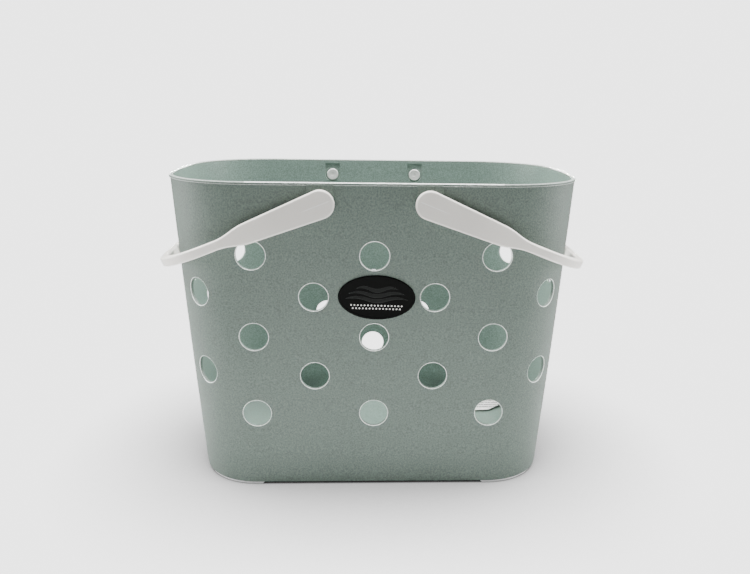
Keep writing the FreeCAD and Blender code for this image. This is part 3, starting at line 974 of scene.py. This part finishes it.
def paper_tag():
    """The pointed card, its edges a little lifted, as it lies on the floor and the fillet."""
    half = TAG_WIDTH / 2
    rows = 24
    columns = 12
    verts, place = [], []
    for level in (0.0, TAG_THICKNESS):
        for i in range(rows + 1):
            x = -TAG_LENGTH + TAG_LENGTH * i / rows
            wide = half if x < -TAG_POINT else half + (TAG_END / 2 - half) * (x + TAG_POINT) / TAG_POINT
            for j in range(columns + 1):
                y = wide * (2 * j / columns - 1)
                curl = 0.16 * (y / half) ** 2 * (0.4 + 0.6 * i / rows)
                verts.append(Vector((x, y, level + curl)))
                place.append((x, y, 0.0))
    wide_row = columns + 1
    sheet = (rows + 1) * wide_row
    faces = []
    for i in range(rows):
        for j in range(columns):
            a = i * wide_row + j
            faces.append((a, a + wide_row, a + wide_row + 1, a + 1))
            faces.append((sheet + a, sheet + a + 1, sheet + a + wide_row + 1, sheet + a + wide_row))
    rim = [j for j in range(columns)] + [i * wide_row + columns for i in range(rows)]
    rim += [rows * wide_row + j for j in range(columns, 0, -1)] + [i * wide_row for i in range(rows, 0, -1)]
    for a, b in zip(rim, rim[1:] + rim[:1]):
        faces.append((a, b, sheet + b, sheet + a))
    tail = Matrix.Translation((-TAG_LENGTH, 0, 0))
    at = Matrix.Translation((*TAG_TIP, FLOOR_TOP + 0.02)) @ Matrix.Rotation(-TAG_TURN, 4, "Z")
    at = at @ tail @ Matrix.Rotation(-TAG_TILT, 4, "Y") @ tail.inverted()
    piece = build_mesh("printed_tag", verts, faces, at)
    back = at.inverted()
    card = piece.data.attributes.new("card_place", "FLOAT_VECTOR", "POINT")
    for i, vertex in enumerate(piece.data.vertices):
        card.data[i].vector = back @ (vertex.co * 1000)
    piece.data.materials.append(TAG_PAPER)
    smooth(piece, 50.0)
    return piece


# ---------------------------------------------------------------- assembly

def stand_for(piece, node, body):
    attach(piece, body)
    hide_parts(node)


stand_for(tub(), "tub", "tub_body")
badge_plate, badge_dots = badge()
stand_for(badge_plate, "badge", "tub_body")
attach(badge_dots, "tub_body")
stand_for(paper_tag(), "paper_tag", "tub_body")
for side_name, side in (("left", -1), ("right", 1)):
    body = f"{side_name}_handle_body"
    grip = handle(f"{side_name}_swing_handle", side)
    stand_for(grip, f"{side_name}_handle", body)
    for end_name, end in (("front", -1), ("rear", 1)):
        button = pivot_button(f"{end_name}_{side_name}_button", side * PIVOT_X, end)
        stand_for(button, f"{end_name}_{side_name}_pivot_button", body)


# ---------------------------------------------------------------- floor, lights and camera

BACKDROP_GLOW = 3.35
FLOOR_REACH = 9000.0


def studio_floor():
    """A wide pale floor that is bright to the camera, with a painted soft shadow where the tub stands."""
    corners = [(x * FLOOR_REACH, y * FLOOR_REACH, 0) for x, y in ((-1, -1), (1, -1), (1, 1), (-1, 1))]
    floor = build_mesh("studio_floor", corners, [(0, 1, 2, 3)])
    material = bpy.data.materials.new("Studio floor")
    material.use_nodes = True
    nodes = material.node_tree.nodes
    nodes.clear()
    tree = Tree(material.node_tree)
    matt = tree.add("ShaderNodeBsdfDiffuse")
    place = tree.add("ShaderNodeTexCoord").outputs["Object"]
    away = tree.add("ShaderNodeVectorMath", operation="LENGTH")
    tree.wire(place, away.inputs[0])
    near = tree.remap(away.outputs["Value"], 0.25, 0.9, 0.82, 0.25)
    tree.wire(near, matt.inputs["Color"])
    # Painted shadow: to the camera the floor's glow is darkened by ambient occlusion round the tub.
    shade = tree.add("ShaderNodeAmbientOcclusion", samples=16)
    shade.inputs["Distance"].default_value = 0.12
    glow = tree.add("ShaderNodeEmission")
    tree.wire(tree.math("POWER", shade.outputs["AO"], 2.1), glow.inputs["Color"])
    glow.inputs["Strength"].default_value = BACKDROP_GLOW
    seen = tree.add("ShaderNodeLightPath")
    mix = tree.add("ShaderNodeMixShader")
    tree.wire(seen.outputs["Is Camera Ray"], mix.inputs[0])
    tree.wire(matt.outputs[0], mix.inputs[1])
    tree.wire(glow.outputs[0], mix.inputs[2])
    out = tree.add("ShaderNodeOutputMaterial")
    tree.wire(mix.outputs[0], out.inputs["Surface"])
    floor.data.materials.append(material)


def studio_air(strength):
    """Soft light from all round, behind a backdrop as bright as the floor."""
    world = bpy.data.worlds.new("Studio air")
    bpy.context.scene.world = world
    world.use_nodes = True
    tree = Tree(world.node_tree)
    air = world.node_tree.nodes["Background"]
    air.inputs["Color"].default_value = (0.97, 0.99, 1.0, 1)
    air.inputs["Strength"].default_value = strength
    drop = tree.add("ShaderNodeBackground")
    drop.inputs["Color"].default_value = (1, 1, 1, 1)
    drop.inputs["Strength"].default_value = BACKDROP_GLOW
    seen = tree.add("ShaderNodeLightPath")
    mix = tree.add("ShaderNodeMixShader")
    tree.wire(seen.outputs["Is Camera Ray"], mix.inputs[0])
    tree.wire(air.outputs[0], mix.inputs[1])
    tree.wire(drop.outputs[0], mix.inputs[2])
    tree.wire(mix.outputs[0], world.node_tree.nodes["World Output"].inputs["Surface"])


def softbox(name, place, target, size, power, spread=180.0):
    """A soft lamp at place that points at target, and that the camera doesn't see."""
    lamp = bpy.data.lights.new(name, "AREA")
    lamp.shape = "RECTANGLE"
    lamp.size, lamp.size_y = size
    lamp.energy = power
    lamp.spread = radians(spread)
    box = bpy.data.objects.new(name, lamp)
    box.location = place
    box.rotation_euler = (Vector(target) - Vector(place)).to_track_quat("-Z", "Y").to_euler()
    box.visible_camera = False
    bpy.context.scene.collection.objects.link(box)


studio_floor()
studio_air(0.22)
softbox("Top softbox", (0.0, -0.02, 1.2), (0, -0.02, 0.1), (0.8, 0.32), 42.0)
softbox("Left softbox", (-1.2, 0.15, 0.2), (0, 0, 0.08), (0.7, 0.4), 9.0)
softbox("Right softbox", (1.2, 0.15, 0.2), (0, 0, 0.08), (0.7, 0.4), 8.3)
softbox("Upper left softbox", (-0.75, 0.02, 0.75), (-0.13, 0, 0.12), (0.4, 0.4), 9.0)
softbox("Upper right softbox", (0.75, 0.02, 0.75), (0.13, 0, 0.12), (0.4, 0.4), 7.6)
softbox("Left grip light", (-0.17, 0.0, 0.95), (-0.197, 0, 0.16), (0.02, 0.24), 0.25, 9.0)
softbox("Right grip light", (0.17, 0.0, 0.95), (0.197, 0, 0.16), (0.02, 0.24), 0.25, 9.0)
softbox("Low front reflector", (0.0, -0.42, 0.03), (0, -0.08, 0.04), (0.6, 0.06), 0.35)

# The camera stands in front, a little above the rim, and looks down by PITCH.
YAW = 0.045
PITCH = 0.254
ROLL = 0.016
ahead = Vector((sin(YAW) * cos(PITCH), cos(YAW) * cos(PITCH), -sin(PITCH)))
right = Vector((cos(YAW), -sin(YAW), 0.0))
down = ahead.cross(right)
across = right * cos(ROLL) - down * sin(ROLL)
upward = -(right * sin(ROLL) + down * cos(ROLL))
lens = bpy.data.cameras.new("Camera")
lens.sensor_width = 36.0
lens.lens = 35.4
lens.shift_x = -0.034
lens.shift_y = -0.001
lens.clip_end = 100.0
camera = bpy.data.objects.new("Camera", lens)
camera.matrix_world = Matrix((across, upward, -ahead)).transposed().to_4x4()
camera.location = (-0.00412, -0.55966, 0.27474)
bpy.context.scene.collection.objects.link(camera)
bpy.context.scene.camera = camera
